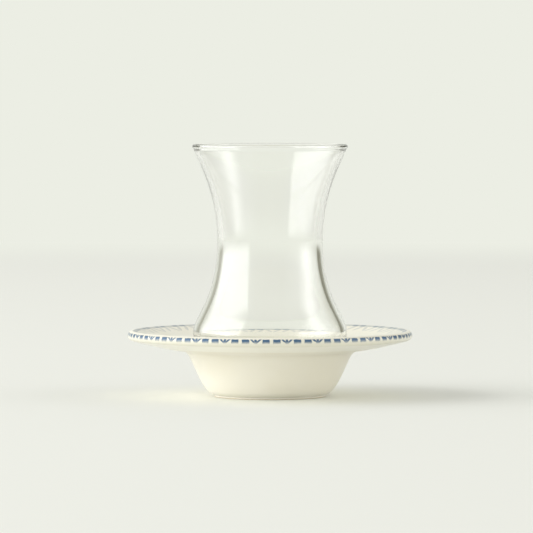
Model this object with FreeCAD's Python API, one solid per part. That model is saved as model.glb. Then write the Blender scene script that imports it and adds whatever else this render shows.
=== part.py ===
"""A tulip-shaped Turkish tea glass standing in its deep-welled ceramic saucer.

Both pieces are turned about +Z. The table is z = 0 and the axis of the set is the origin, so the
origin is the middle of the saucer's foot. Profiles are points (radius, height) in millimetres.
"""
import FreeCAD, Part
import math
import os

# ---- glass: outside, heights above its own foot ----
GLASS_H = 96.2              # foot to the top of the rim
MOUTH_R = 31.5              # outside radius just under the rim bead
MOUTH_FLARE = 23.0          # degrees from upright at the mouth
WAIST_R = 21.9              # outside radius at the narrow waist
WAIST_H = 56.2              # height of the waist
BULB_R = 31.9               # outside radius at the widest part of the bulb
BULB_H = 18.0               # height of the widest part
GLASS_FOOT_R = 21.5         # where the underside turns into the foot
FOOT_TURN_H = 1.0           # height of that turn
FOOT_RING_W = 3.0           # width of the flat ring that it stands on
PUNT_DEPTH = 1.2            # hollow under the middle of the foot

# ---- glass: wall ----
MOUTH_WALL = 1.7
WAIST_WALL = 2.4
BULB_WALL = 2.4
BASE_T = 7.2                # thick bottom, measured at the middle
BEAD_R = 1.1                # fire-polished rim, radius of its round section
BEAD_IN = 0.1               # how far the bead sits inside the wall's line
BEAD_RISE = 1.5             # from the plain wall up to the bead's middle

# ---- saucer ----
SAUCER_R = 59.0
SAUCER_H = 27.4
LIP_R = 2.0                 # radius of the rounded lip
FLANGE_T = 2.85             # at the well
FLANGE_IN_H = 22.1          # top of the flange at the well
WALL = 2.6                  # wall of the bowl
FLOOR_H = 8.5               # well floor above the table
FOOT_R = 23.1               # outside radius of the foot ring
FOOT_H = 0.9                # height of the step where the bowl starts
FOOT_STEP = 0.5             # width of that step
FOOT_W = 3.2
FOOT_ROUND = 0.3
RECESS_H = 3.0              # roof of the recess inside the foot ring
RECESS_LEAN = 1.2           # how far the ring's inner side leans in, bottom to roof

# ---- fullness of the curves: how far a handle reaches along its span, 0 to 1 ----
FLARE_PULL = 0.23           # mouth, along the flare
WAIST_PULL_UP = 0.49        # waist, towards the mouth
WAIST_PULL_DOWN = 0.655     # waist, towards the bulb
BULB_PULL_UP = 0.195        # bulb, towards the waist
BULB_PULL_IN = 0.155        # the same on the inside, which leaves the wall thickest above the bulb
BULB_PULL_DOWN = 0.35       # bulb, towards the foot
FOOT_PULL_OUT = 0.55        # foot, outwards
FOOT_PULL_UP = 0.17         # foot, upwards
DISH_PULL_DOWN = 0.62       # inside bottom, from the bulb
DISH_PULL_OUT = 0.7         # inside bottom, from the middle
PUNT_PULL = 0.6             # hollow under the foot
BELLY_PULL = 0.46           # bowl, down from its top
COVE_PULL = 0.35            # round between the well's wall and its floor
LIP_PULL = 0.08             # flange top, in from the lip
FLANGE_PULL = 0.6           # flange top, out from the well

# ---- small sizes and slopes of the saucer ----
FLANGE_LEAN = 82.0          # degrees from upright, at the well
FLANGE_TOP_LEAN = 83.0
LIP_LEAN = 75.0             # degrees from upright, underside at the lip
EDGE_W = 3.6                # width of the rounded edge of the well
EDGE_HANDLE = 1.9
MOUTH_HANDLE = 1.4
CORNER_W = 4.6              # width of the round under the flange, at the bowl
CORNER_HANDLE = 2.6
BELLY_OUT = (4.0, 1.4)      # handle of the bowl's curve at the foot

# ---- fit of the glass in the well ----
WELL_GAP = 1.3              # round the bulb, at the mouth of the well
FLOOR_GAP = 2.6             # round the turn of the foot
EDGE_DROP = 3.9             # the well's rounded edge starts this far below the flange's top
BELLY_DROP = 6.1            # the bowl's outside starts this far below it


HALVINGS = 40               # steps of the search for a height on a curve


# ---- drawing helpers ----
def vec(point):
    return FreeCAD.Vector(point[0], 0, point[1])


def line(a, b):
    return Part.LineSegment(vec(a), vec(b)).toShape()


def arc(a, middle, b):
    return Part.Arc(vec(a), vec(middle), vec(b)).toShape()


def bezier(poles):
    curve = Part.BezierCurve()
    curve.setPoles([vec(p) for p in poles])
    return curve.toShape()


def turn(edges):
    """Turns a closed chain of edges in the XZ plane about the Z axis."""
    face = Part.Face(Part.Wire(edges))
    solid = face.revolve(FreeCAD.Vector(0, 0, 0), FreeCAD.Vector(0, 0, 1), 360)
    return Part.Solid(solid.Shells[0])


def mix(a, b, t):
    return (a[0] + (b[0] - a[0]) * t, a[1] + (b[1] - a[1]) * t)


def polar(angle, length):
    """A step of a length, at an angle in degrees from upright, leaning outwards."""
    return (length * math.sin(math.radians(angle)), length * math.cos(math.radians(angle)))


def shift(point, step, sign=1):
    return (point[0] + sign * step[0], point[1] + sign * step[1])


def meet(a, b, z):
    """Where the straight line from a through b reaches the height z."""
    t = (z - a[1]) / (b[1] - a[1])
    return (a[0] + (b[0] - a[0]) * t, z)


def lean_of(poles):
    """The lean of a curve at its first point, in degrees from upright."""
    return math.degrees(math.atan2(poles[0][0] - poles[1][0], poles[0][1] - poles[1][1]))


def split(poles, t):
    """The part of a cubic curve after t, by de Casteljau's construction."""
    row = list(poles)
    tail = [row[-1]]
    while len(row) > 1:
        row = [mix(a, b, t) for a, b in zip(row, row[1:])]
        tail.insert(0, row[-1])
    return tail


def below_height(poles, z):
    """The part of a falling curve below a height, found by halving the span."""
    low, high = 0.0, 1.0
    for _ in range(HALVINGS):
        t = (low + high) / 2
        if split(poles, t)[0][1] > z:
            low = t
        else:
            high = t
    return split(poles, high)


# ---- glass ----
LIFT = FLOOR_H                          # the glass stands on the well floor
MOUTH_Z = LIFT + GLASS_H - BEAD_R - BEAD_RISE


def side(mouth_r, waist_r, bulb_r, bulb_pull):
    """Mouth to bulb: two cubic curves that meet upright at the waist."""
    waist_z = LIFT + WAIST_H
    bulb_z = LIFT + BULB_H
    rise = MOUTH_Z - waist_z
    drop = waist_z - bulb_z
    mouth = (mouth_r, MOUTH_Z)
    waist = (waist_r, waist_z)
    upper = [
        mouth,
        shift(mouth, polar(MOUTH_FLARE, FLARE_PULL * rise), -1),
        (waist_r, waist_z + WAIST_PULL_UP * rise),
        waist,
    ]
    lower = [
        waist,
        (waist_r, waist_z - WAIST_PULL_DOWN * drop),
        (bulb_r, bulb_z + bulb_pull * drop),
        (bulb_r, bulb_z),
    ]
    return upper, lower


def underside(bulb_r, foot_r, foot_z):
    """The bulb's curve from its widest part in to the foot."""
    bulb_z = LIFT + BULB_H
    drop = bulb_z - foot_z
    return [
        (bulb_r, bulb_z),
        (bulb_r, bulb_z - BULB_PULL_DOWN * drop),
        (foot_r + FOOT_PULL_OUT * (bulb_r - foot_r), foot_z + FOOT_PULL_UP * drop),
        (foot_r, foot_z),
    ]


def glass():
    outer_r = MOUTH_R
    inner_r = MOUTH_R - MOUTH_WALL
    upper, lower = side(outer_r, WAIST_R, BULB_R, BULB_PULL_UP)
    inner_upper, inner_lower = side(
        inner_r, WAIST_R - WAIST_WALL, BULB_R - BULB_WALL, BULB_PULL_IN)
    below = underside(BULB_R, GLASS_FOOT_R, LIFT + FOOT_TURN_H)

    # the bead swells a little past the wall on both sides
    bead_z = MOUTH_Z + BEAD_RISE
    bead_r = (outer_r + inner_r) / 2 + BEAD_RISE * math.tan(math.radians(MOUTH_FLARE)) - BEAD_IN
    lean = polar(MOUTH_FLARE, BEAD_RISE / 2)
    outer_neck = [
        (outer_r, MOUTH_Z),
        shift((outer_r, MOUTH_Z), lean),
        (bead_r + BEAD_R, bead_z - BEAD_RISE / 3),
        (bead_r + BEAD_R, bead_z),
    ]
    inner_neck = [
        (bead_r - BEAD_R, bead_z),
        (bead_r - BEAD_R, bead_z - BEAD_RISE / 3),
        shift((inner_r, MOUTH_Z), lean),
        (inner_r, MOUTH_Z),
    ]

    # inside bottom, a smooth dish over the thick base
    bulb_in = inner_lower[-1]
    floor_z = LIFT + BASE_T
    dish = [
        bulb_in,
        (bulb_in[0], mix(bulb_in, (0, floor_z), DISH_PULL_DOWN)[1]),
        (DISH_PULL_OUT * bulb_in[0], floor_z),
        (0, floor_z),
    ]

    # foot: rounded turn, flat ring, shallow hollow
    turn_mid = meet(below[-2], below[-1], LIFT)
    ring_out = 2 * turn_mid[0] - below[-1][0]
    ring_in = ring_out - FOOT_RING_W
    foot_turn = [below[-1], turn_mid, (ring_out, LIFT)]
    punt = [(ring_in, LIFT), (PUNT_PULL * ring_in, LIFT + PUNT_DEPTH), (0, LIFT + PUNT_DEPTH)]

    return turn([
        bezier(upper),
        bezier(lower),
        bezier(below),
        bezier(foot_turn),
        line((ring_out, LIFT), (ring_in, LIFT)),
        bezier(punt),
        line((0, LIFT + PUNT_DEPTH), (0, floor_z)),
        bezier(dish[::-1]),
        bezier(inner_lower[::-1]),
        bezier(inner_upper[::-1]),
        bezier(inner_neck[::-1]),
        arc((bead_r - BEAD_R, bead_z), (bead_r, bead_z + BEAD_R), (bead_r + BEAD_R, bead_z)),
        bezier(outer_neck[::-1]),
    ])


# ---- saucer ----
def well():
    """The well's wall: the bulb's underside, moved out by the gaps round the glass."""
    bulb, bulb_low, foot_out, foot = underside(BULB_R, GLASS_FOOT_R, LIFT + FOOT_TURN_H)
    return [
        (bulb[0] + WELL_GAP, bulb[1]),
        (bulb_low[0] + WELL_GAP, bulb_low[1]),
        (foot_out[0] + FLOOR_GAP, mix(foot, foot_out, COVE_PULL)[1]),
        (foot[0] + FLOOR_GAP / 2, FLOOR_H),
    ]


def saucer():
    well_wall = below_height(well(), FLANGE_IN_H - EDGE_DROP)
    mouth = well_wall[0]
    well_lean = lean_of(well_wall)

    # bowl outside: the well's wall plus the thickness, curving in to the foot ring
    belly_in = below_height(well(), FLANGE_IN_H - BELLY_DROP)
    lean = lean_of(belly_in)
    belly_top = (belly_in[0][0] + WALL, belly_in[0][1])
    belly_h = belly_top[1] - FOOT_H
    foot_top = (FOOT_R + FOOT_STEP, FOOT_H)
    belly = [
        foot_top,
        shift(foot_top, BELLY_OUT),
        shift(belly_top, polar(lean, BELLY_PULL * belly_h), -1),
        belly_top,
    ]

    # flange: underside and top run out to the round lip
    lip_mid = (SAUCER_R - LIP_R, SAUCER_H - LIP_R)
    lip_top = (lip_mid[0], SAUCER_H)
    lip_low = shift(lip_mid, polar(LIP_LEAN + 90, LIP_R))
    start = (belly_top[0] + CORNER_W, FLANGE_IN_H - FLANGE_T)
    width = lip_low[0] - start[0]
    bottom = [
        start,
        shift(start, polar(FLANGE_LEAN, width / 3)),
        shift(lip_low, polar(LIP_LEAN, width / 3), -1),
        lip_low,
    ]
    corner = [
        belly_top,
        shift(belly_top, polar(lean, CORNER_HANDLE)),
        shift(start, polar(FLANGE_LEAN, CORNER_HANDLE), -1),
        start,
    ]
    edge = (mouth[0] + EDGE_W, FLANGE_IN_H)
    top_w = lip_top[0] - edge[0]
    top = [
        lip_top,
        (lip_top[0] - LIP_PULL * top_w, SAUCER_H),
        shift(edge, polar(FLANGE_TOP_LEAN, FLANGE_PULL * top_w)),
        edge,
    ]
    well_edge = [
        edge,
        shift(edge, polar(FLANGE_TOP_LEAN, EDGE_HANDLE), -1),
        shift(mouth, polar(well_lean, MOUTH_HANDLE)),
        mouth,
    ]

    # foot ring, slightly rounded where it meets the table, with a small step above
    ring_in = FOOT_R - FOOT_W
    foot = [
        (ring_in - RECESS_LEAN, RECESS_H),
        (ring_in, FOOT_ROUND),
        (ring_in + FOOT_ROUND, 0),
        (FOOT_R - FOOT_ROUND, 0),
        (FOOT_R, FOOT_ROUND),
        (FOOT_R, FOOT_H - FOOT_STEP / 2),
    ]

    lip_out = (SAUCER_R, lip_mid[1])
    return turn([
        line((0, FLOOR_H), (0, RECESS_H)),
        line((0, RECESS_H), foot[0]),
        line(foot[0], foot[1]),
        bezier([foot[1], (ring_in, 0), foot[2]]),
        line(foot[2], foot[3]),
        bezier([foot[3], (FOOT_R, 0), foot[4]]),
        line(foot[4], foot[5]),
        bezier([foot[5], (FOOT_R, FOOT_H), foot_top]),
        bezier(belly),
        bezier(corner),
        bezier(bottom),
        arc(lip_low, lip_out, lip_top),
        bezier(top),
        bezier(well_edge),
        bezier(well_wall),
        line(well_wall[-1], (0, FLOOR_H)),
    ])


def main():
    os.makedirs("parts", exist_ok=True)
    for name, make in (("saucer", saucer), ("tea_glass", glass)):
        shape = make()
        box = shape.BoundBox
        print(name, shape.ShapeType, "valid", shape.isValid(), "volume cm3", round(shape.Volume / 1000, 2),
              "z", round(box.ZMin, 2), round(box.ZMax, 2), "r", round(box.XMax, 2))
        shape.exportStep("parts/" + name + ".step")


main()
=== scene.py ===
# %% [markdown]
# # A tulip tea glass in its deep saucer
#
# The object is two turned pieces: a clear tea glass with a flared mouth, a narrow waist and a
# round bulb, and a cream glazed saucer whose well holds the bulb. A blue hand-painted border of
# dashes and small sprigs runs round the saucer's lip. Everything is in metres, and the axis of
# both pieces is Z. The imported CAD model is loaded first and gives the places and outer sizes.

# %% Load the frame
import math

import bpy
import numpy as np
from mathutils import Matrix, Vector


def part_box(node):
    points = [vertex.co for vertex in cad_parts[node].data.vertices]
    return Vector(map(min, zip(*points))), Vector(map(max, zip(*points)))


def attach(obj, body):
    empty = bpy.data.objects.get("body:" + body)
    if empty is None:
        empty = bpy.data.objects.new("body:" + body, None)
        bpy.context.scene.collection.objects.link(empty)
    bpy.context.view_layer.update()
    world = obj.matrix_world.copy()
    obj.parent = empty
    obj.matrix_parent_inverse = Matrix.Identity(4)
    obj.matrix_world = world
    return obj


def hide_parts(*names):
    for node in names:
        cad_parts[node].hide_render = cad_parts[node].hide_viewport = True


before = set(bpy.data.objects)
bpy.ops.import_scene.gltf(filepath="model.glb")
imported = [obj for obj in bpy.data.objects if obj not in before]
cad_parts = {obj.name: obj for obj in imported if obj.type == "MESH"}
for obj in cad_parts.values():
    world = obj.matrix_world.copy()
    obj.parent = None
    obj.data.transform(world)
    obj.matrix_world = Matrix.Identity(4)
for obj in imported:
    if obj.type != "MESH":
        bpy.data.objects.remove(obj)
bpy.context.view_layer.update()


# %% Outer sizes, read from the frame
MM = 0.001
saucer_low, saucer_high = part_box("saucer")
glass_low, glass_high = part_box("tea_glass")
saucer_r = min(saucer_high.x, saucer_high.y, -saucer_low.x, -saucer_low.y)
saucer_h = saucer_high.z
rim_r = min(glass_high.x, glass_high.y, -glass_low.x, -glass_low.y)
rim_z = glass_high.z
seat_z = glass_low.z
print("saucer radius", round(saucer_r, 5), "rim radius", round(rim_r, 5), "seat", round(seat_z, 5))


# %% [markdown]
# ## Curves and turned surfaces
#
# A potter and a glassmaker both shape a piece about an axis, so one outline says everything. It
# could be a bought mesh or a Screw modifier. Here the outline is a chain of cubic curves and
# arcs, and one function carries it round the axis as a grid of points worked out by numpy, which
# keeps the surface smooth enough for glass to bend light cleanly.

# %% Helpers for outlines
def cubic(poles, steps):
    """A cubic curve: four poles weighed by (1-t)^3, 3(1-t)^2 t, 3(1-t) t^2 and t^3."""
    t = np.linspace(0, 1, steps + 1)[:, None]
    a, b, c, d = np.array(poles, float)
    return (1 - t) ** 3 * a + 3 * (1 - t) ** 2 * t * b + 3 * (1 - t) * t ** 2 * c + t ** 3 * d


def arc(centre, radius, start, stop, steps):
    """Points on a circle, centre + radius (cos a, sin a), with a from start to stop degrees."""
    a = np.radians(np.linspace(start, stop, steps + 1))
    return np.stack([centre[0] + radius * np.cos(a), centre[1] + radius * np.sin(a)], axis=1)


def line(a, b, steps):
    """Evenly spaced points from a to b."""
    t = np.linspace(0, 1, steps + 1)[:, None]
    return np.array(a, float) * (1 - t) + np.array(b, float) * t


def chain(*runs):
    """Runs joined end to end, where each run's first point is the last one's end."""
    return np.concatenate([runs[0]] + [run[1:] for run in runs[1:]])


def lean(angle, length):
    """A step of a length, leaning outwards by an angle in degrees from upright."""
    return np.array([math.sin(math.radians(angle)), math.cos(math.radians(angle))]) * length


def split(poles, t):
    """The rest of a cubic curve after t: each new pole lies a share t along the old span."""
    row = np.array(poles, float)
    tail = [row[-1]]
    while len(row) > 1:
        row = row[:-1] * (1 - t) + row[1:] * t
        tail.insert(0, row[-1])
    return np.array(tail)


def below(poles, height):
    """The part of a falling cubic curve that lies below a height."""
    t = np.linspace(0, 1, 4001)
    z = cubic(poles, 4000)[:, 1]
    return split(poles, float(np.interp(-height, -z, t)))


# %% Carry an outline round the axis
def turned(name, outline, columns):
    """A closed solid of revolution. The outline runs from the axis, outside first, to the axis.

    Point (i, j) of the grid is (r_i cos a_j, r_i sin a_j, z_i) with a_j = 2 pi j / columns. The two
    ends of the outline are single points, joined to their neighbours by fans of triangles.
    """
    ring = outline[1:-1]
    rows = len(ring)
    a = np.linspace(0, 2 * np.pi, columns, endpoint=False)
    grid = np.empty((rows, columns, 3))
    grid[:, :, 0] = ring[:, :1] * np.cos(a)
    grid[:, :, 1] = ring[:, :1] * np.sin(a)
    grid[:, :, 2] = ring[:, 1:]
    ends = [[0, 0, outline[0, 1]], [0, 0, outline[-1, 1]]]
    points = np.concatenate([grid.reshape(-1, 3), ends])
    here = np.arange(rows * columns).reshape(rows, columns)
    right = np.roll(here, -1, axis=1)
    quads = np.stack([here[:-1], right[:-1], right[1:], here[1:]], axis=-1).reshape(-1, 4)
    first = np.full(columns, rows * columns)
    fans = np.concatenate([
        np.stack([first, right[0], here[0]], axis=-1),
        np.stack([first + 1, here[-1], right[-1]], axis=-1),
    ])
    mesh = bpy.data.meshes.new(name)
    mesh.from_pydata(points.tolist(), [], quads.tolist() + fans.tolist())
    mesh.update()
    mesh.shade_smooth()
    piece = bpy.data.objects.new(name, mesh)
    bpy.context.scene.collection.objects.link(piece)
    print(name, "outline points", len(outline), "faces", len(mesh.polygons))
    return piece


# %% [markdown]
# ## The tea glass
#
# The real glass is blown into a mould: a wall under two millimetres at the mouth, thicker at the
# waist and bulb, a heavy bottom and a rim melted round by a flame. Glass shows both of its
# surfaces, so the inside has to be a true second surface and not a Solidify modifier of even
# thickness. The outline goes from the hollow under the foot, up the outside, over the rim and down
# the inside.

# %% Outline of the glass
waist_r = 21.9 * MM
waist_z = seat_z + 56.2 * MM
bulb_r = 31.9 * MM
bulb_z = seat_z + 18.0 * MM
foot_r = 21.5 * MM
foot_z = seat_z + 1.0 * MM
mouth_wall = 1.7 * MM
waist_wall = 2.4 * MM
bulb_wall = 2.4 * MM
base_t = 7.2 * MM
bead_r = 1.1 * MM
bead_rise = 1.5 * MM
mouth_flare = 23.0
ring_w = 3.0 * MM
punt = 1.2 * MM
seat_air = 0.02 * MM                   # a film of air under the foot, too thin to see

# How far a curve's handle reaches along its span, 0 to 1.
flare_pull = 0.23                      # mouth, along the flare
waist_pull_up = 0.49                   # waist, towards the mouth
waist_pull_down = 0.655                # waist, towards the bulb
outer_pull = 0.195                     # bulb, towards the waist, on the outside
inner_pull = 0.155                     # and on the inside, so the wall is thickest above the bulb
bulb_pull_down = 0.35                  # bulb, towards the foot
foot_pull_out = 0.55                   # foot, outwards
foot_pull_up = 0.17                    # foot, upwards
dish_pull_down = 0.62                  # inside bottom, from the bulb
dish_pull_out = 0.7                    # inside bottom, from the middle

bead_z = rim_z - bead_r
bead_mid = rim_r - bead_r
mouth_z = bead_z - bead_rise
mouth_r = 31.5 * MM


def glass_side(mouth, waist, bulb, pull, steps):
    """Mouth to bulb: two cubic curves that meet upright at the waist.

    pull is the share of the drop to the bulb over which the curve stays upright there.
    """
    rise = mouth_z - waist_z
    drop = waist_z - bulb_z
    top = np.array([mouth, mouth_z])
    upper = [
        top,
        top - lean(mouth_flare, flare_pull * rise),
        (waist, waist_z + waist_pull_up * rise),
        (waist, waist_z),
    ]
    lower = [
        (waist, waist_z),
        (waist, waist_z - waist_pull_down * drop),
        (bulb, bulb_z + pull * drop),
        (bulb, bulb_z),
    ]
    return chain(cubic(upper, steps), cubic(lower, steps))


def glass_underside():
    """Poles of the curve from the widest part of the bulb in to the foot."""
    drop = bulb_z - foot_z
    return [
        (bulb_r, bulb_z),
        (bulb_r, bulb_z - bulb_pull_down * drop),
        (foot_r + foot_pull_out * (bulb_r - foot_r), foot_z + foot_pull_up * drop),
        (foot_r, foot_z),
    ]


def rim_neck(start, edge_r):
    """A cubic curve from the plain wall up to the side of the rim's round bead."""
    half = lean(mouth_flare, bead_rise / 2)
    return cubic([start, start + half, (edge_r, bead_z - bead_rise / 3), (edge_r, bead_z)], 8)


def foot_runs(under):
    """Hollow, flat ring and rounded edge of the foot, from the middle out to the underside."""
    share = (seat_z - under[3][1]) / (under[3][1] - under[2][1])
    corner_r = under[3][0] + (under[3][0] - under[2][0]) * share
    ring_out = 2 * corner_r - foot_r
    ring_in = ring_out - ring_w
    low = seat_z + seat_air
    roof = low + punt
    hollow = cubic([(0, roof), (0.5 * ring_in, roof), (0.8 * ring_in, low + punt / 3), (ring_in, low)], 16)
    edge = cubic([(ring_out, low), (corner_r, low), (corner_r, low), (foot_r, foot_z)], 10)
    return hollow, line(hollow[-1], edge[0], 3), edge


def glass_outline():
    """The whole outline of the glass, from the middle of the foot to the middle of its inside."""
    outer = glass_side(mouth_r, waist_r, bulb_r, outer_pull, 52)
    inner = glass_side(mouth_r - mouth_wall, waist_r - waist_wall, bulb_r - bulb_wall, inner_pull, 52)
    under = glass_underside()
    bead = arc((bead_mid, bead_z), bead_r, 0, 180, 18)
    floor_z = seat_z + base_t
    bulb_in, bulb_low = inner[-1]
    dish_z = bulb_low * (1 - dish_pull_down) + floor_z * dish_pull_down
    dish = [inner[-1], (bulb_in, dish_z), (dish_pull_out * bulb_in, floor_z), (0, floor_z)]
    return chain(
        *foot_runs(under), cubic(under[::-1], 26), outer[::-1], rim_neck(outer[0], bead_mid + bead_r),
        bead, rim_neck(inner[0], bead_mid - bead_r)[::-1], inner, cubic(dish, 40))


tea_glass = turned("clear_glass", glass_outline(), 288)
print("glass wall at the waist", waist_wall, "m")


# %% [markdown]
# ## The saucer
#
# The saucer is pressed or cast earthenware under a glossy cream glaze. Its well is the bulb's own
# underside moved out by a small gap, so the glass can't slide. A wide flange rises gently to a
# thick rounded lip. The same outline method makes it, with close rows at the lip, where the
# highlight and the painted border need a smooth round.

# %% Outline of the saucer
lip_r = 2.0 * MM
flange_t = 2.85 * MM
flange_z = 22.1 * MM
bowl_wall = 2.6 * MM
ring_r = 23.1 * MM
step_z = 0.9 * MM
step_w = 0.5 * MM
ring_in_r = 19.9 * MM
ring_round = 0.3 * MM
recess_z = 3.0 * MM
recess_r = 18.7 * MM
well_gap = 1.3 * MM
floor_gap = 2.6 * MM
edge_drop = 3.9 * MM                   # the well's rounded edge starts this far below the flange's top
belly_drop = 6.1 * MM                  # and the bowl's outside this far
edge_w = 3.6 * MM                      # width of the well's rounded edge
edge_handle = 1.9 * MM
mouth_handle = 1.4 * MM
corner_w = 4.6 * MM                    # width of the round under the flange, at the bowl
corner_handle = 2.6 * MM
belly_out = (4.0 * MM, 1.4 * MM)       # handle of the bowl's curve at the foot
flange_lean = 82.0                     # degrees from upright: the underside at the bowl
lip_lean = 75.0                        # the underside at the lip
flange_top_lean = 83.0                 # the top at the well

belly_pull = 0.46                      # bowl, down from its top
cove_pull = 0.35                       # round between the well's wall and its floor
lip_pull = 0.08                        # flange top, in from the lip
flange_pull = 0.6                      # flange top, out from the well
lip_mid = np.array([saucer_r - lip_r, saucer_h - lip_r])


def well_poles():
    """The bulb's underside, moved out by the gaps round the glass."""
    bulb, bulb_low, foot_out, foot = glass_underside()
    cove_z = foot[1] + cove_pull * (foot_out[1] - foot[1])
    return [
        (bulb[0] + well_gap, bulb[1]),
        (bulb_low[0] + well_gap, bulb_low[1]),
        (foot_out[0] + floor_gap, cove_z),
        (foot[0] + floor_gap / 2, seat_z),
    ]


def tilt_of(poles):
    """The lean of a curve at its first pole, in degrees from upright."""
    d = poles[0] - poles[1]
    return math.degrees(math.atan2(d[0], d[1]))


def under_flange(well):
    """The bowl's outside, the round under the flange, and the flange's underside out to the lip."""
    belly_lean = tilt_of(well)
    belly_top = well[0] + (bowl_wall, 0)
    step = np.array([ring_r + step_w, step_z])
    handle = lean(belly_lean, belly_pull * (belly_top[1] - step_z))
    belly = [step, step + belly_out, belly_top - handle, belly_top]
    start = np.array([belly_top[0] + corner_w, flange_z - flange_t])
    inward = start - lean(flange_lean, corner_handle)
    corner = [belly_top, belly_top + lean(belly_lean, corner_handle), inward, start]
    lip_low = lip_mid + lean(90 + lip_lean, lip_r)
    third = (lip_low[0] - start[0]) / 3
    bottom = [start, start + lean(flange_lean, third), lip_low - lean(lip_lean, third), lip_low]
    return cubic(belly, 34), cubic(corner, 14), cubic(bottom, 24)


def flange_top(well):
    """The flange's top from the lip in, and the rounded edge down into the well."""
    lip_top = np.array([lip_mid[0], saucer_h])
    edge = np.array([well[0][0] + edge_w, flange_z])
    top_w = lip_top[0] - edge[0]
    near_lip = (lip_top[0] - lip_pull * top_w, saucer_h)
    top = [lip_top, near_lip, edge + lean(flange_top_lean, flange_pull * top_w), edge]
    down = well[0] + lean(tilt_of(well), mouth_handle)
    well_edge = [edge, edge - lean(flange_top_lean, edge_handle), down, well[0]]
    return cubic(top, 34), cubic(well_edge, 12)


def saucer_runs():
    """The saucer's outline as runs, from the middle of its underside to the middle of the well."""
    well = below(well_poles(), flange_z - edge_drop)
    foot_low = (ring_r - ring_round, 0)
    foot_out = [foot_low, (ring_r, 0), (ring_r, 0), (ring_r, ring_round)]
    foot_in = [(ring_in_r, ring_round), (ring_in_r, 0), (ring_in_r, 0), (ring_in_r + ring_round, 0)]
    foot_side = (ring_r, step_z - step_w / 2)
    foot_step = [foot_side, (ring_r, step_z), (ring_r, step_z), (ring_r + step_w, step_z)]
    return [
        line((0, recess_z), (recess_r, recess_z), 12),
        line((recess_r, recess_z), (ring_in_r, ring_round), 6),
        cubic(foot_in, 4),
        line((ring_in_r + ring_round, 0), foot_low, 4),
        cubic(foot_out, 4),
        line((ring_r, ring_round), foot_side, 3),
        cubic(foot_step, 5),
        *under_flange(below(well_poles(), flange_z - belly_drop)),
        arc(lip_mid, lip_r, -lip_lean, 90, 30),
        *flange_top(well),
        cubic(well, 20),
        line(well[-1], (0, seat_z), 10),
    ]


saucer_outline = chain(*saucer_runs())
saucer = turned("saucer_body", saucer_outline, 384)


# %% [markdown]
# ### A map for the painted border
#
# The border follows the lip, so its colour needs two coordinates on the surface: how far round,
# counted in repeats of the motif, and how far across the lip, in millimetres from its outermost
# line, positive on the top side. A UV map holds both. The number of repeats is whole, so the
# pattern runs on across the map's seam.

# %% Border map on the saucer
REPEATS = 29
BORDER_TURN = -0.51                    # repeats by which the first motif is turned


def border_map(piece, outline):
    """u is the angle round the axis in repeats, v the length along the outline in millimetres.

    v is 0 at the widest point and is summed along the outline, from the length of each step.
    """
    steps = np.hypot(*np.diff(outline, axis=0).T)
    along = np.concatenate([[0], np.cumsum(steps)]) / MM
    widest = int(np.argmax(outline[:, 0]))
    across = along - along[widest]
    mesh = piece.data
    count = len(mesh.loops)
    corner = np.empty(count, np.int32)
    mesh.loops.foreach_get("vertex_index", corner)
    rows = len(outline) - 2
    columns = (len(mesh.vertices) - 2) // rows
    ring = np.minimum(corner // columns, rows - 1)
    v = across[1:-1][ring]
    v[corner == rows * columns] = across[0]
    v[corner == rows * columns + 1] = across[-1]
    column = corner % columns
    faces = len(mesh.polygons)
    start = np.empty(faces, np.int32)
    total = np.empty(faces, np.int32)
    mesh.polygons.foreach_get("loop_start", start)
    mesh.polygons.foreach_get("loop_total", total)
    face = np.repeat(np.arange(faces), total)
    widest_column = np.maximum.reduceat(column, start)[face]
    wraps = (widest_column == columns - 1) & (column == 0)
    u = np.where(wraps, columns, column) * REPEATS / columns
    layer = mesh.uv_layers.new(name="border")
    layer.data.foreach_set("uv", np.stack([u, v], axis=1).astype(np.float32).ravel())
    return across


across = border_map(saucer, saucer_outline)
print("border map from", round(float(across.min()), 1), "to", round(float(across.max()), 1), "mm")


# %% [markdown]
# ## Finishes
#
# Small functions keep the node trees readable: one makes a node and sets its plain sockets, and
# one strings arithmetic nodes together.

# %% Node helpers
def node(tree, kind, links=None, **settings):
    """A node of a kind, with attributes or plain sockets set, and inputs linked by name or place."""
    made = tree.nodes.new(kind)
    for key, value in settings.items():
        if hasattr(made, key):
            setattr(made, key, value)
        else:
            made.inputs[key.replace("_", " ")].default_value = value
    for key, value in (links or {}).items():
        if isinstance(value, bpy.types.NodeSocket):
            tree.links.new(value, made.inputs[key])
        else:
            made.inputs[key].default_value = value
    return made


def sums(tree, operation, *values):
    """One arithmetic node; the result of an operation on sockets or numbers."""
    return node(tree, "ShaderNodeMath", dict(enumerate(values)), operation=operation).outputs[0]


def ramp(tree, value, low, high, to_low=0.0, to_high=1.0):
    """A smooth step: to_low at low, to_high at high, with level ends."""
    links = {"Value": value, "From Min": low, "From Max": high, "To Min": to_low, "To Max": to_high}
    return node(tree, "ShaderNodeMapRange", links, interpolation_type="SMOOTHSTEP").outputs["Result"]


def blend(tree, share, a, b):
    """Colour a where share is 0 and b where it is 1."""
    mixed = node(tree, "ShaderNodeMix", data_type="RGBA")
    for socket, value in ((mixed.inputs[0], share), (mixed.inputs[6], a), (mixed.inputs[7], b)):
        if isinstance(value, bpy.types.NodeSocket):
            tree.links.new(value, socket)
        else:
            socket.default_value = value
    return mixed.outputs[2]


def paint(red, green, blue):
    """A screen colour of 0 to 255 as the linear colour that a shader takes."""
    c = np.array([red, green, blue]) / 255
    linear = np.where(c <= 0.04045, c / 12.92, ((c + 0.055) / 1.055) ** 2.4)
    return (*[float(x) for x in linear], 1.0)


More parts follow.
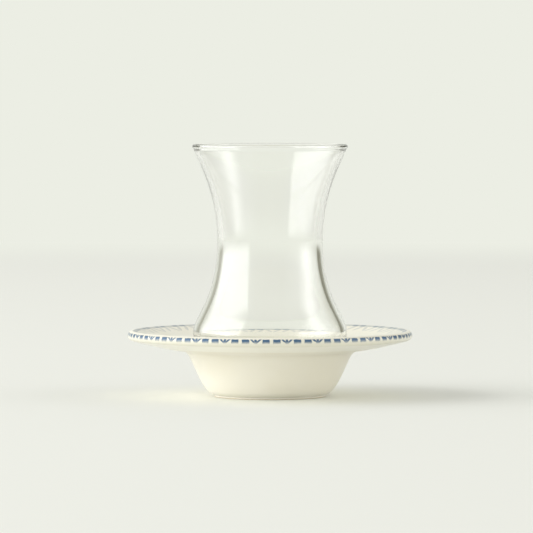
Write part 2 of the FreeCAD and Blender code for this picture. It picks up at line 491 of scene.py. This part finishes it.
def new_material(name):
    """A material with an empty tree, its output node and its Principled shader."""
    material = bpy.data.materials.new(name)
    material.use_nodes = True
    tree = material.node_tree
    tree.nodes.clear()
    out = node(tree, "ShaderNodeOutputMaterial")
    shader = node(tree, "ShaderNodeBsdfPrincipled")
    tree.links.new(shader.outputs[0], out.inputs["Surface"])
    return material, tree, shader, out


# %% [markdown]
# ### Ripple, shared by glass and glaze
#
# Neither moulded glass nor fired glaze is perfectly even: both carry a faint ripple a few
# millimetres long. A node group gives that as a height, placed once in each material with its own
# scale, so the two surfaces differ only in the values.

# %% Ripple group
ripple = bpy.data.node_groups.new("ripple", "ShaderNodeTree")
ripple.interface.new_socket("Scale", in_out="INPUT", socket_type="NodeSocketFloat")
ripple.interface.new_socket("Fine", in_out="INPUT", socket_type="NodeSocketFloat")
ripple.interface.new_socket("Height", in_out="OUTPUT", socket_type="NodeSocketFloat")
ripple.interface.new_socket("Cloud", in_out="OUTPUT", socket_type="NodeSocketFloat")


def fill_ripple(tree):
    """Height is a wide noise plus a share of a noise nine times finer. Cloud is the wide noise."""
    come = node(tree, "NodeGroupInput")
    go = node(tree, "NodeGroupOutput")
    where = node(tree, "ShaderNodeTexCoord").outputs["Object"]
    wide = node(tree, "ShaderNodeTexNoise", {"Vector": where, "Scale": come.outputs["Scale"]}, Detail=2.0)
    finer = sums(tree, "MULTIPLY", come.outputs["Scale"], 9.0)
    small = node(tree, "ShaderNodeTexNoise", {"Vector": where, "Scale": finer}, Detail=2.0)
    part = sums(tree, "MULTIPLY", small.outputs[0], come.outputs["Fine"])
    tree.links.new(sums(tree, "ADD", wide.outputs[0], part), go.inputs["Height"])
    tree.links.new(wide.outputs[0], go.inputs["Cloud"])


fill_ripple(ripple)


def place_ripple(tree, scale, fine):
    """The ripple group in a material, with its own scale and share of fine noise."""
    made = node(tree, "ShaderNodeGroup")
    made.node_tree = ripple
    made.inputs["Scale"].default_value = scale
    made.inputs["Fine"].default_value = fine
    return made


# %% [markdown]
# ### Clear glass
#
# Soda-lime glass bends light by 1.5 and is almost colourless. A Principled shader with full
# transmission does the real bending and mirroring. Lamps reach what stands behind the glass
# through a Light Path switch, because the soft shadow of thin clear glass is nearly nothing.

# %% Glass material
def make_glass():
    """Transmission with a faint ripple and roughness, but plainly clear to shadow and diffuse rays."""
    material, tree, shader, out = new_material("clear glass")
    shader.inputs["Base Color"].default_value = (0.986, 0.989, 0.978, 1)
    shader.inputs["Transmission Weight"].default_value = 1.0
    shader.inputs["IOR"].default_value = 1.5
    waves = place_ripple(tree, 90.0, 0.05)
    height = waves.outputs["Height"]
    bump = node(tree, "ShaderNodeBump", {"Height": height}, Strength=0.008, Distance=0.0004)
    tree.links.new(bump.outputs[0], shader.inputs["Normal"])
    tree.links.new(ramp(tree, waves.outputs["Cloud"], 0.3, 0.75, 0.0, 0.02), shader.inputs["Roughness"])
    clear = node(tree, "ShaderNodeBsdfTransparent")
    clear.inputs["Color"].default_value = (0.93, 0.94, 0.925, 1)
    path = node(tree, "ShaderNodeLightPath")
    lamps = sums(tree, "MAXIMUM", path.outputs["Is Shadow Ray"], path.outputs["Is Diffuse Ray"])
    both = node(tree, "ShaderNodeMixShader", {0: lamps, 1: shader.outputs[0], 2: clear.outputs[0]})
    tree.links.new(both.outputs[0], out.inputs["Surface"])
    return material


tea_glass.data.materials.append(make_glass())
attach(tea_glass, "root")
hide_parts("tea_glass")


# %% [markdown]
# ### Cream glaze and the painted border
#
# The glaze is glossy and warm, with faint clouds in it. Under the flange its colour is lighter, a painted
# light where little light reaches, and over the lip it is darker, a painted shade. The ring under the foot
# is unglazed clay whose colour is darkened further as a painted contact shadow. The border is brushed in
# slate blue before the last firing: two dashes and a sprig of three strokes in each repeat, darkest at the
# top, where the brush starts, and running paler downwards. A thin line and faint leaf strokes lie on top
# of the flange. Boxes and slanted strokes in the border map draw all of it.

# %% Border strokes
DASHES = ((0.11, 0.122), (0.46, 0.12))  # middle and half width of each dash, in repeats
SPRIG = 0.785                          # middle of the sprig, in repeats
SPRIG_HALF = 0.04                      # half width of each of its strokes
SPRIG_SPREAD = 0.15                    # how far its side strokes lean
PAINT_LOW = -0.4                       # lower edge of the paint, in millimetres across the lip
PAINT_HIGH = 1.45                      # and its upper edge
PAINT_RUN = 1.1                        # height over which the paint thins downwards
PAINT_THIN = 0.3                       # how strong it still is at the bottom
SOFT_U = 0.012                         # softness of the strokes' ends, in repeats
SOFT_V = 0.16                          # and of the upper and lower edges, in millimetres
WAVER_U = 0.05                         # how far the brush strays, in repeats
WAVER_V = 0.5                          # and in millimetres
LINE_V = 4.2                           # middle of the thin line on top of the flange
LINE_HALF = 1.0
LINE_INK = 0.4                         # how strong it is, and how much more beside the dashes
LINE_MORE = 0.35
LEAVES = ((0.11, 0.04), (0.46, 0.04), (0.785, -0.04))  # middle and lean of each faint leaf
LEAF_V = 7.0                           # middle of the leaves, in millimetres
LEAF_HALF_U = 0.08
LEAF_HALF_V = 3.2
LEAF_INK = 0.27


def stroke(tree, u, middle, half, soft):
    """1 inside middle +- half and 0 outside, with soft ends: a ramp on half - |u - middle|."""
    off = sums(tree, "ABSOLUTE", sums(tree, "SUBTRACT", u, middle))
    return ramp(tree, sums(tree, "SUBTRACT", half, off), -soft, soft)


def leaf(tree, u, v, middle, tilt, centre, half_u, half_v):
    """A slanted leaf: 1 where ((u - middle - tilt (v - c)) / a)^2 + ((v - c) / b)^2 is under 1."""
    rise = sums(tree, "SUBTRACT", v, centre)
    slide = sums(tree, "MULTIPLY_ADD", rise, -tilt, sums(tree, "SUBTRACT", u, middle))
    a = sums(tree, "DIVIDE", slide, half_u)
    b = sums(tree, "DIVIDE", rise, half_v)
    far = sums(tree, "MULTIPLY_ADD", a, a, sums(tree, "MULTIPLY", b, b))
    return ramp(tree, far, 1.15, 0.6)


def border_ink(tree):
    """How much blue lies at each point, 0 to 1."""
    where = node(tree, "ShaderNodeUVMap", uv_map="border").outputs[0]
    xy = node(tree, "ShaderNodeSeparateXYZ", {0: where})
    place = node(tree, "ShaderNodeTexCoord").outputs["Object"]
    shake = node(tree, "ShaderNodeTexNoise", {"Vector": place}, Scale=900.0, Detail=1.0).outputs[0]
    off = sums(tree, "SUBTRACT", shake, 0.5)
    turn_by = sums(tree, "MULTIPLY_ADD", off, WAVER_U, xy.outputs[0])
    u = sums(tree, "FRACT", sums(tree, "ADD", turn_by, BORDER_TURN + REPEATS))
    v = sums(tree, "MULTIPLY_ADD", off, WAVER_V, xy.outputs[1])
    middle_v = (PAINT_LOW + PAINT_HIGH) / 2
    band = stroke(tree, v, middle_v, (PAINT_HIGH - PAINT_LOW) / 2, SOFT_V)
    ink = 0.0
    for middle, half in DASHES:
        ink = sums(tree, "MAXIMUM", ink, stroke(tree, u, middle, half, SOFT_U))
    dashes = ink
    share = sums(tree, "DIVIDE", sums(tree, "SUBTRACT", v, PAINT_LOW), PAINT_HIGH - PAINT_LOW)
    for side in (-1, 0, 1):
        middle = sums(tree, "MULTIPLY_ADD", share, side * SPRIG_SPREAD, SPRIG)
        ink = sums(tree, "MAXIMUM", ink, stroke(tree, u, middle, SPRIG_HALF, SOFT_U))
    ink = sums(tree, "MULTIPLY", ink, band)
    fade = ramp(tree, v, PAINT_LOW - 0.2, PAINT_LOW + PAINT_RUN, PAINT_THIN, 1.0)
    ink = sums(tree, "MULTIPLY", ink, fade)
    wash = sums(tree, "MULTIPLY_ADD", dashes, LINE_MORE, LINE_INK)
    inner_line = sums(tree, "MULTIPLY", stroke(tree, v, LINE_V, LINE_HALF, 0.4), wash)
    ink = sums(tree, "MAXIMUM", ink, inner_line)
    for middle, tilt in LEAVES:
        blade = leaf(tree, u, v, middle, tilt, LEAF_V, LEAF_HALF_U, LEAF_HALF_V)
        ink = sums(tree, "MAXIMUM", ink, sums(tree, "MULTIPLY", blade, LEAF_INK))
    return ink, v


# %% Glaze material
CREAM = paint(245, 241, 229)
CREAM_DEEP = paint(240, 234, 216)      # in the clouds
CREAM_PAINTED_LIGHT_UNDER = paint(252, 250, 241)     # painted light: lighter glaze under the flange, where little light reaches
CREAM_PAINTED_SHADE_LIP = paint(230, 227, 212)       # painted shade: darker glaze over the lip
BISCUIT_AND_CONTACT_SHADE = paint(192, 176, 142)         # unglazed clay on the foot ring only, darkened as a painted contact shadow
SLATE_BLUE = paint(60, 95, 128)
# Bands across the lip for the painted light under the flange and the painted shade over the lip.
PAINTED_LIGHT_UNDER_BAND = (-8.0, 6.5, 1.2)          # middle, half width and softness in millimetres across the lip
PAINTED_SHADE_LIP_BAND = (-0.2, 2.2, 0.8)


def make_glaze():
    """Glossy cream with faint clouds, painted light under the flange, painted shade over the lip, the
    border, and an unglazed foot ring darkened as a painted contact shadow.
    """
    material, tree, shader, out = new_material("cream glaze")
    waves = place_ripple(tree, 55.0, 0.08)
    ink, v = border_ink(tree)
    xyz = node(tree, "ShaderNodeSeparateXYZ", {0: node(tree, "ShaderNodeTexCoord").outputs["Object"]})
    z = xyz.outputs[2]
    cloud = ramp(tree, waves.outputs["Cloud"], 0.35, 0.7)
    colour = blend(tree, sums(tree, "MULTIPLY", cloud, 0.35), CREAM, CREAM_DEEP)
    # Painted light: the glaze is made lighter under the flange.
    under = stroke(tree, v, *PAINTED_LIGHT_UNDER_BAND)
    colour = blend(tree, sums(tree, "MULTIPLY", under, 0.9), colour, CREAM_PAINTED_LIGHT_UNDER)
    # Painted shade: the glaze is made darker over the lip.
    lip = stroke(tree, v, *PAINTED_SHADE_LIP_BAND)
    colour = blend(tree, sums(tree, "MULTIPLY", lip, 0.95), colour, CREAM_PAINTED_SHADE_LIP)
    colour = blend(tree, ink, colour, SLATE_BLUE)
    # The unglazed foot ring: rough clay, with its colour darkened as a painted contact shadow.
    bare_and_contact_shade = ramp(tree, z, 0.35 * MM, 0.1 * MM)
    colour = blend(tree, bare_and_contact_shade, colour, BISCUIT_AND_CONTACT_SHADE)
    tree.links.new(colour, shader.inputs["Base Color"])
    gloss = ramp(tree, waves.outputs["Cloud"], 0.3, 0.75, 0.28, 0.36)
    rough = sums(tree, "MAXIMUM", gloss, sums(tree, "MULTIPLY", bare_and_contact_shade, 0.8))
    tree.links.new(rough, shader.inputs["Roughness"])
    height = waves.outputs["Height"]
    bump = node(tree, "ShaderNodeBump", {"Height": height}, Strength=0.05, Distance=0.0006)
    tree.links.new(bump.outputs[0], shader.inputs["Normal"])
    shader.inputs["IOR"].default_value = 1.5
    return material


saucer.data.materials.append(make_glaze())
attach(saucer, "root")
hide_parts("saucer")


# %% [markdown]
# ## Studio
#
# A pale floor runs back to a pale backdrop, and its far edge turns into the backdrop's colour. The
# backdrop is the world. Glass is seen only by what it bends and mirrors: the backdrop behind it
# keeps it light, and two darker flanks beside the backdrop draw dark lines along its sides. The
# floor has no sheen, so it stays even when the lamps are behind it.

# %% Floor
BACKDROP = paint(236, 238, 228)
FLOOR_R = 1.84                         # in metres, like all of the studio
FLOOR_FADE = 0.55                      # width of the edge that turns into the backdrop
FLOOR_COLOUR = paint(238, 239, 234)


def make_floor():
    """A flat disc: two rings of points round a middle one, with an edge of the backdrop's colour."""
    columns = 96
    a = np.linspace(0, 2 * np.pi, columns, endpoint=False)
    ring = np.stack([np.cos(a), np.sin(a), np.zeros(columns)], axis=1)
    points = np.concatenate([ring * FLOOR_R / 2, ring * FLOOR_R, [[0, 0, 0]]])
    here = np.arange(columns)
    right = np.roll(here, -1)
    quads = np.stack([here, here + columns, right + columns, right], axis=1)
    fan = np.stack([here, right, np.full(columns, 2 * columns)], axis=1)
    mesh = bpy.data.meshes.new("floor")
    mesh.from_pydata(points.tolist(), [], quads.tolist() + fan.tolist())
    piece = bpy.data.objects.new("floor", mesh)
    bpy.context.scene.collection.objects.link(piece)
    material, tree, shader, out = new_material("floor")
    shader.inputs["Base Color"].default_value = FLOOR_COLOUR
    shader.inputs["Roughness"].default_value = 0.7
    shader.inputs["Specular IOR Level"].default_value = 0.0
    place = node(tree, "ShaderNodeTexCoord").outputs["Object"]
    far = node(tree, "ShaderNodeVectorMath", {0: place}, operation="LENGTH").outputs["Value"]
    glow = node(tree, "ShaderNodeEmission", {"Color": BACKDROP})
    fade = ramp(tree, far, FLOOR_R - FLOOR_FADE, FLOOR_R - 0.01)
    both = node(tree, "ShaderNodeMixShader", {0: fade, 1: shader.outputs[0], 2: glow.outputs[0]})
    tree.links.new(both.outputs[0], out.inputs["Surface"])
    mesh.materials.append(material)


make_floor()


# %% [markdown]
# ### What the glass sees
#
# The world answers each kind of ray. The camera sees the plain backdrop. Rays that the glass only
# bends see the room. Rays that have been mirrored also see three lit panels, which draw the bright
# bands in the glass and the sheen on the glaze. Matt surfaces get an even light from it. The panels
# stand about where the lamps stand, but they have soft edges, which a lamp can't have.

# %% World
FLANK_LEFT = paint(176, 176, 160)      # the unlit room beside the backdrop
FLANK_RIGHT = paint(138, 137, 120)
FLANK_NEAR = (23, 29)                  # where the flanks begin, in degrees from straight behind
FLANK_FAR = (85, 65)                   # and where they end
FLANK_UP = (-0.035, 0.0)               # and from what height, as the sine of the angle above level
FRONT = paint(222, 223, 209)           # the duller side where the camera stands
FRONT_NEAR = (142, 150)
FRONT_UP = (0.02, 0.2)
PALE_WALL = (1.3, 1.3, 1.28, 1)        # pale walls round the lamps, left and right
LOW_LIGHT = (1.0, 1.0, 0.95, 1)        # even light from the walls all round
HIGH_LIGHT = (0.51, 0.51, 0.485, 1)    # and from the dimmer ceiling
CEILING_UP = (0.45, 0.7)
PANEL_UP = (-0.06, 0.07)               # where every wall and panel begins, fading in upwards
PANEL_SOFT = 0.06                      # and how soft its top is

# Walls and panels: side (-1 left, 1 right); the two edges in degrees from straight behind, and how
# soft each is; the sine of the top's height; and, for a panel, its brightness beside white.
PALE_WALLS = ((1, 62, 126, 22, 22, 0.6), (-1, 59, 131, 12, 12, 0.6))
PANELS = (
    (-1, 50, 82, 12, 3, 0.66, 2.3),
    (-1, 76, 132, 16, 2, 0.7, 3.5),
    (1, 83, 105, 15, 15, 0.66, 3.7),
)


def panel(tree, turn_to, z, x, side, low, high, soft_low, soft_high, top):
    """1 inside a panel and 0 outside: the product of four ramps and of the side it is on.

    turn_to is the angle from straight behind, and z and x are those of the ray's direction.
    """
    rise = ramp(tree, turn_to, math.radians(low - soft_low), math.radians(low + soft_low))
    fall = ramp(tree, turn_to, math.radians(high + soft_high), math.radians(high - soft_high))
    under_top = ramp(tree, z, top + PANEL_SOFT, top - PANEL_SOFT)
    up = sums(tree, "MULTIPLY", ramp(tree, z, *PANEL_UP), under_top)
    here = sums(tree, "MULTIPLY", sums(tree, "MULTIPLY", rise, fall), up)
    return sums(tree, "MULTIPLY", here, ramp(tree, sums(tree, "MULTIPLY", x, side), -0.01, 0.01))


def make_world():
    """The backdrop for the camera, the room for glass, panels for mirrors, and an even light.

    A direction's angle from straight behind the glass, 0 to 180 degrees, picks the part of the
    room: backdrop, unlit flanks, pale walls, camera side. Below level it is all backdrop, like the
    far edge of the floor.
    """
    world = bpy.data.worlds.new("studio")
    world.use_nodes = True
    bpy.context.scene.world = world
    tree = world.node_tree
    tree.nodes.clear()
    out = node(tree, "ShaderNodeOutputWorld")
    direction = node(tree, "ShaderNodeTexCoord").outputs["Generated"]
    x, y, z = node(tree, "ShaderNodeSeparateXYZ", {0: direction}).outputs
    turn_to = sums(tree, "ABSOLUTE", sums(tree, "ARCTAN2", x, y))
    begin = ramp(tree, turn_to, *np.radians(FLANK_NEAR).tolist())
    end = ramp(tree, turn_to, *np.radians(FLANK_FAR).tolist())
    flank = sums(tree, "MULTIPLY", begin, end)
    flank = sums(tree, "MULTIPLY", flank, ramp(tree, z, *FLANK_UP))
    beside = blend(tree, ramp(tree, x, -0.1, 0.1), FLANK_LEFT, FLANK_RIGHT)
    room = blend(tree, flank, BACKDROP, beside)
    ahead = ramp(tree, turn_to, *np.radians(FRONT_NEAR).tolist())
    room = blend(tree, sums(tree, "MULTIPLY", ahead, ramp(tree, z, *FRONT_UP)), room, FRONT)
    for shape in PALE_WALLS:
        room = blend(tree, panel(tree, turn_to, z, x, *shape), room, PALE_WALL)
    path = node(tree, "ShaderNodeLightPath")
    light = blend(tree, ramp(tree, z, *CEILING_UP), LOW_LIGHT, HIGH_LIGHT)
    lit = room
    for *shape, level in PANELS:
        white = (level, level, level, 1)
        lit = blend(tree, panel(tree, turn_to, z, x, *shape), lit, white)
    mirrored = ramp(tree, path.outputs["Glossy Depth"], 0.1, 0.9)
    colour = blend(tree, mirrored, room, lit)
    colour = blend(tree, path.outputs["Is Diffuse Ray"], colour, light)
    colour = blend(tree, path.outputs["Is Camera Ray"], colour, BACKDROP)
    glow = node(tree, "ShaderNodeBackground", {"Color": colour})
    tree.links.new(glow.outputs[0], out.inputs["Surface"])


make_world()


# %% [markdown]
# ### Lamps
#
# A wide key light and a dimmer one beside it stand at the left, and a weak fill stands at the right,
# so the saucer's shadow falls to the right. Only matt surfaces see them. The panels above stand in
# for them wherever glass or glaze would mirror a lamp.

# %% Lamps
LAMP_AWAY = 4.0                        # metres from the glass
LAMP_LOW = -0.5                        # lower edge of every lamp, in degrees above level
LAMP_AIM = np.array([0, 0, 0.06])      # the lamps face this point, near the waist of the glass


def softbox(name, azimuth, high, width, level):
    """A flat lamp that faces the glass. Angles are in degrees: azimuth from the camera, right
    positive, high the upper edge, width across. level is its brightness beside white.
    """
    data = bpy.data.lights.new(name, "AREA")
    data.shape = "RECTANGLE"
    height = math.radians((LAMP_LOW + high) / 2)
    data.size = 2 * LAMP_AWAY * math.tan(math.radians(width / 2))
    data.size_y = 2 * LAMP_AWAY * math.tan(math.radians((high - LAMP_LOW) / 2))
    data.energy = level * math.pi * data.size * data.size_y
    lamp = bpy.data.objects.new(name, data)
    bpy.context.scene.collection.objects.link(lamp)
    a = math.radians(azimuth)
    away = np.array([math.sin(a) * math.cos(height), -math.cos(a) * math.cos(height), math.sin(height)])
    lamp.location = away * LAMP_AWAY + LAMP_AIM
    lamp.rotation_euler = (math.pi / 2 - height, 0, a)
    lamp.visible_camera = lamp.visible_glossy = lamp.visible_transmission = False
    print(name, "size", round(data.size, 2), round(data.size_y, 2), "power", round(data.energy, 1))


softbox("key", -71, 45, 46, 2.7)
softbox("key side", -108, 40, 30, 1.95)
softbox("fill", 86, 40, 24, 1.3)


# %% [markdown]
# ## Camera
#
# A long lens from far away, a little above the table, keeps both rims nearly flat.

# %% Camera
CAMERA_AWAY = 1.95                     # metres in front of the glass
CAMERA_UP = 0.133
LENS = 317.7                           # millimetres, on a sensor 36 wide
DOWN = 2.323                           # degrees below level
LEFT = 0.0426                          # degrees towards the left, which sets the glass right of centre


def make_camera():
    """A level-shouldered camera on the -Y side, aimed slightly down."""
    data = bpy.data.cameras.new("camera")
    data.lens = LENS
    data.sensor_width = 36
    data.clip_end = 20
    camera = bpy.data.objects.new("camera", data)
    bpy.context.scene.collection.objects.link(camera)
    camera.location = (0, -CAMERA_AWAY, CAMERA_UP)
    camera.rotation_euler = (math.radians(90 - DOWN), 0, math.radians(LEFT))
    bpy.context.scene.camera = camera


make_camera()
bpy.context.scene.view_settings.view_transform = "Standard"
